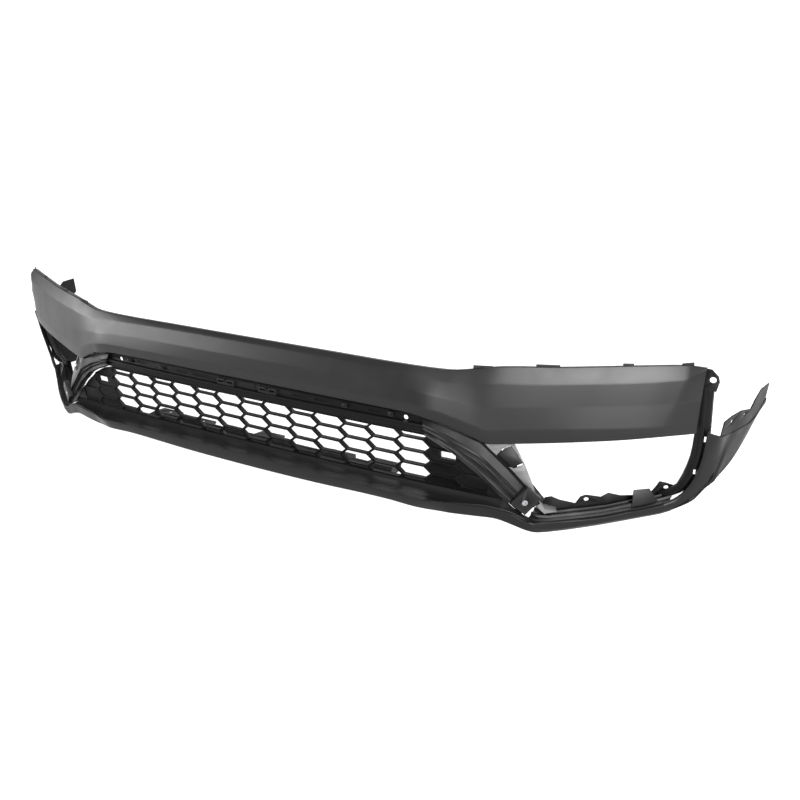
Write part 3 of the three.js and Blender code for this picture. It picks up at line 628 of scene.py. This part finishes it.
# %% Two flanges
FLANGE_WALL = 2.4
FLANGE_TOP = [[859, 205, 16], [869, 230, 20], [881, 256, 22], [895, 296, 13], [899, 308, 26],
              [906, 334, 40], [TIP_X, TIP_Y, 38]]
FLANGE_FOOT = [[857, 197, -14], [867, 229, -21], [879, 254, -21], [892, 290, -22], [897, 306, -22],
               [905, 334, -16], [TIP_X - 2, TIP_Y, 1]]
FLANGE_ROWS = 3
FLANGE_HOLES = ((869, 231, 9), (887, 272, 10))
FLANGE_HOLE = 8
FLANGE_FACING = (0.85, -0.52)


def flange_point(i, j):
    return Vector(FLANGE_FOOT[i]).lerp(Vector(FLANGE_TOP[i]), j / (FLANGE_ROWS - 1))


for hand, side in SIDES:
    flange = sheet(f"wing_flange_{side}", len(FLANGE_TOP), FLANGE_ROWS, flange_point, FLANGE_WALL,
                   (1, -1, 0), hand=hand)
    facing = (hand * FLANGE_FACING[0], FLANGE_FACING[1], 0)
    holes = [((hand * x, y, z), facing, FLANGE_HOLE) for x, y, z in FLANGE_HOLES]
    drilled(settled(flange), holes)
    dress(flange, bracket_black)
print("two flanges with", len(FLANGE_HOLES), "holes each")

# %% [markdown]
# ## The mouldings behind
# The grille, rails, channels, floors and brackets are straight-sided mouldings, and their drawn solids
# are right already. What they lack is the small radius on every edge that catches the light. A copy of
# each solid is merged, its flat faces are joined again, and the Bevel modifier rounds its edges. They
# could be rebuilt from nothing, but that would only risk their fit.

# %% Rounded copies of the inner mouldings
SAME_POINT = 1e-6
FLAT_WITHIN = 0.6
CORNER_ANGLE = 28


def rounded_copy(node, finish, radius):
    bm = bmesh.new()
    bm.from_mesh(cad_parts[node].data)
    bmesh.ops.remove_doubles(bm, verts=bm.verts, dist=SAME_POINT)
    bmesh.ops.dissolve_limit(bm, angle_limit=math.radians(FLAT_WITHIN), verts=bm.verts, edges=bm.edges)
    piece = piece_of(node + "_moulding", bm)
    round_edges(piece, radius, CORNER_ANGLE)
    return dress(piece, finish, [node])


centre = [("centre_grille", grille_black, "grille_black", 0.0007),
          ("grille_top_rail", grille_black, "grille_black", 0.0005),
          ("undertray_flange", bracket_black, "bracket_black", 0.0005)]
pairs = [("garnish_channel", channel_black, "channel_black", 0.0005),
         ("channel_end_cap", channel_black, "channel_black", 0.0008),
         ("channel_screw", steel, "screw_steel", 0.0003),
         ("opening_floor", bracket_black, "bracket_black", 0.0005),
         ("opening_gusset", bracket_black, "bracket_black", 0.0005),
         ("opening_side_panel", panel_grey, "panel_grey", 0.0005),
         ("panel_blank", bracket_black, "bracket_black", 0.0004),
         ("end_upright", bracket_black, "bracket_black", 0.0005),
         ("arch_bracket", bracket_black, "bracket_black", 0.0005),
         ("rail_clip_tower", bracket_black, "bracket_black", 0.0004),
         ("rail_hook_1", bracket_black, "bracket_black", 0.0004),
         ("rail_hook_2", bracket_black, "bracket_black", 0.0004)]
for name, finish, slot_name, radius in centre:
    rounded_copy(name, finish, radius)
for name, finish, slot_name, radius in pairs:
    for _, side in SIDES:
        rounded_copy(f"{name}_{side}", finish, radius)
print("rounded copies:", len(centre) + 2 * len(pairs))

# %% [markdown]
# ## Floor
# The cover lies on a plain pale floor. The floor gives off its own light, so that it stays an even white
# behind a black object. Stronger lamps could do the same, but they would wash out the satin faces.

# %% Floor
FLOOR_RADIUS = 2.6
FLOOR_SIDES = 96
FLOOR_BACK = 0.3
FLOOR_GAP = 0.001
FLOOR_GLOW = 0.85


def pale_floor():
    bm = bmesh.new()
    bmesh.ops.create_circle(bm, cap_ends=True, segments=FLOOR_SIDES, radius=FLOOR_RADIUS)
    bmesh.ops.translate(bm, vec=(0, FLOOR_BACK, packed_box[0][2] - FLOOR_GAP), verts=bm.verts)
    floor = piece_of("floor", bm)
    paint = bpy.data.materials.new("pale_floor_paint")
    paint.use_nodes = True
    nodes, links = paint.node_tree.nodes, paint.node_tree.links
    shader = nodes["Principled BSDF"]
    place = nodes.new("ShaderNodeTexCoord").outputs["Object"]
    clouds = noise(nodes, links, place, 0.8, 2)
    pale = blend_tones(nodes, links, clouds, (0.20, 0.20, 0.20), (0.23, 0.23, 0.23))
    links.new(pale, shader.inputs["Base Color"])
    shader.inputs["Roughness"].default_value = 0.9
    shader.inputs["Emission Color"].default_value = (1, 1, 1, 1)
    shader.inputs["Emission Strength"].default_value = FLOOR_GLOW
    floor.data.materials.append(paint)


pale_floor()
print("floor at", round(packed_box[0][2] - FLOOR_GAP, 4))

# %% [markdown]
# ## Light
# Black satin plastic is drawn by what it mirrors, so the light is four large soft boxes: one on the
# left, two on the right and a weak one behind. Small lamps could light it as brightly, but each would
# show as a hard spot on the strip.

# %% Soft boxes
def soft_box(name, azimuth, elevation, distance, width, height, radiance, aim):
    light = bpy.data.lights.new(name, "AREA")
    light.shape = "RECTANGLE"
    light.size, light.size_y = width, height
    light.energy = radiance * math.pi * width * height
    lamp = bpy.data.objects.new(name, light)
    bpy.context.scene.collection.objects.link(lamp)
    a, e = math.radians(azimuth), math.radians(elevation)
    way = Vector((math.sin(a) * math.cos(e), -math.cos(a) * math.cos(e), math.sin(e)))
    lamp.location = Vector(aim) + way * distance
    lamp.rotation_euler = way.to_track_quat("Z", "Y").to_euler()
    return lamp


boxes = [soft_box("left_soft_box", -60, 12, 3.2, 2.6, 1.5, 17, (-0.4, 0, 0)),
         soft_box("right_high_soft_box", 38, 36, 3.2, 1.8, 1.5, 46, (0.6, 0.1, 0)),
         soft_box("right_low_soft_box", 38, 9, 3.4, 1.8, 0.9, 44, (0.6, 0.1, 0)),
         soft_box("rear_soft_box", 175, 48, 3.4, 2.6, 1.2, 12, (0, 0.2, 0))]
print("soft boxes:", len(boxes))

# %% [markdown]
# The room is dark in front of the cover and beside it, white behind it and pale overhead. One even tone
# all round would be simpler, but it would turn the strip flat grey.

# %% Room
BEHIND = (0.44, 0.51)
OVERHEAD = (0.45, 0.95)

world = bpy.data.worlds.new("room")
bpy.context.scene.world = world
world.use_nodes = True
nodes, links = world.node_tree.nodes, world.node_tree.links
way = nodes.new("ShaderNodeTexCoord").outputs["Generated"]
split = nodes.new("ShaderNodeSeparateXYZ")
links.new(way, split.inputs[0])
depth = remap(nodes, links, split.outputs["Y"], *BEHIND, 0, 1)
ceiling = remap(nodes, links, split.outputs["Z"], *OVERHEAD, 0, 1)
room_tone = blend_tones(nodes, links, ceiling, (0.16, 0.16, 0.16), (0.8, 0.8, 0.8))
room_tone = blend_tones(nodes, links, depth, room_tone, (1.05, 1.05, 1.05))
links.new(room_tone, nodes["Background"].inputs["Color"])
print("room:", world.name)

# %% [markdown]
# ## Camera
# The camera stands in front and to the right, a little above the cover. Its place and its two
# directions are given outright. A target to aim at is the other way, but it leaves the roll open.

# %% Camera
CAMERA_PLACE = (0.9012, -1.11645, 0.4626)
LENS, SENSOR_WIDTH = 34.13, 36

eye = bpy.data.cameras.new("camera")
eye.lens = LENS
eye.sensor_width = SENSOR_WIDTH
camera = bpy.data.objects.new("camera", eye)
bpy.context.scene.collection.objects.link(camera)
right_way, up_way = Vector((0.8910, 0.4540, 0)), Vector((-0.17412, 0.34172, 0.92355))
back_way = right_way.cross(up_way)
turn = Matrix((right_way, up_way, back_way)).transposed().to_4x4()
camera.matrix_world = Matrix.Translation(CAMERA_PLACE) @ turn
bpy.context.scene.camera = camera
bpy.context.scene.view_settings.view_transform = "Standard"
print("camera at", tuple(camera.location))
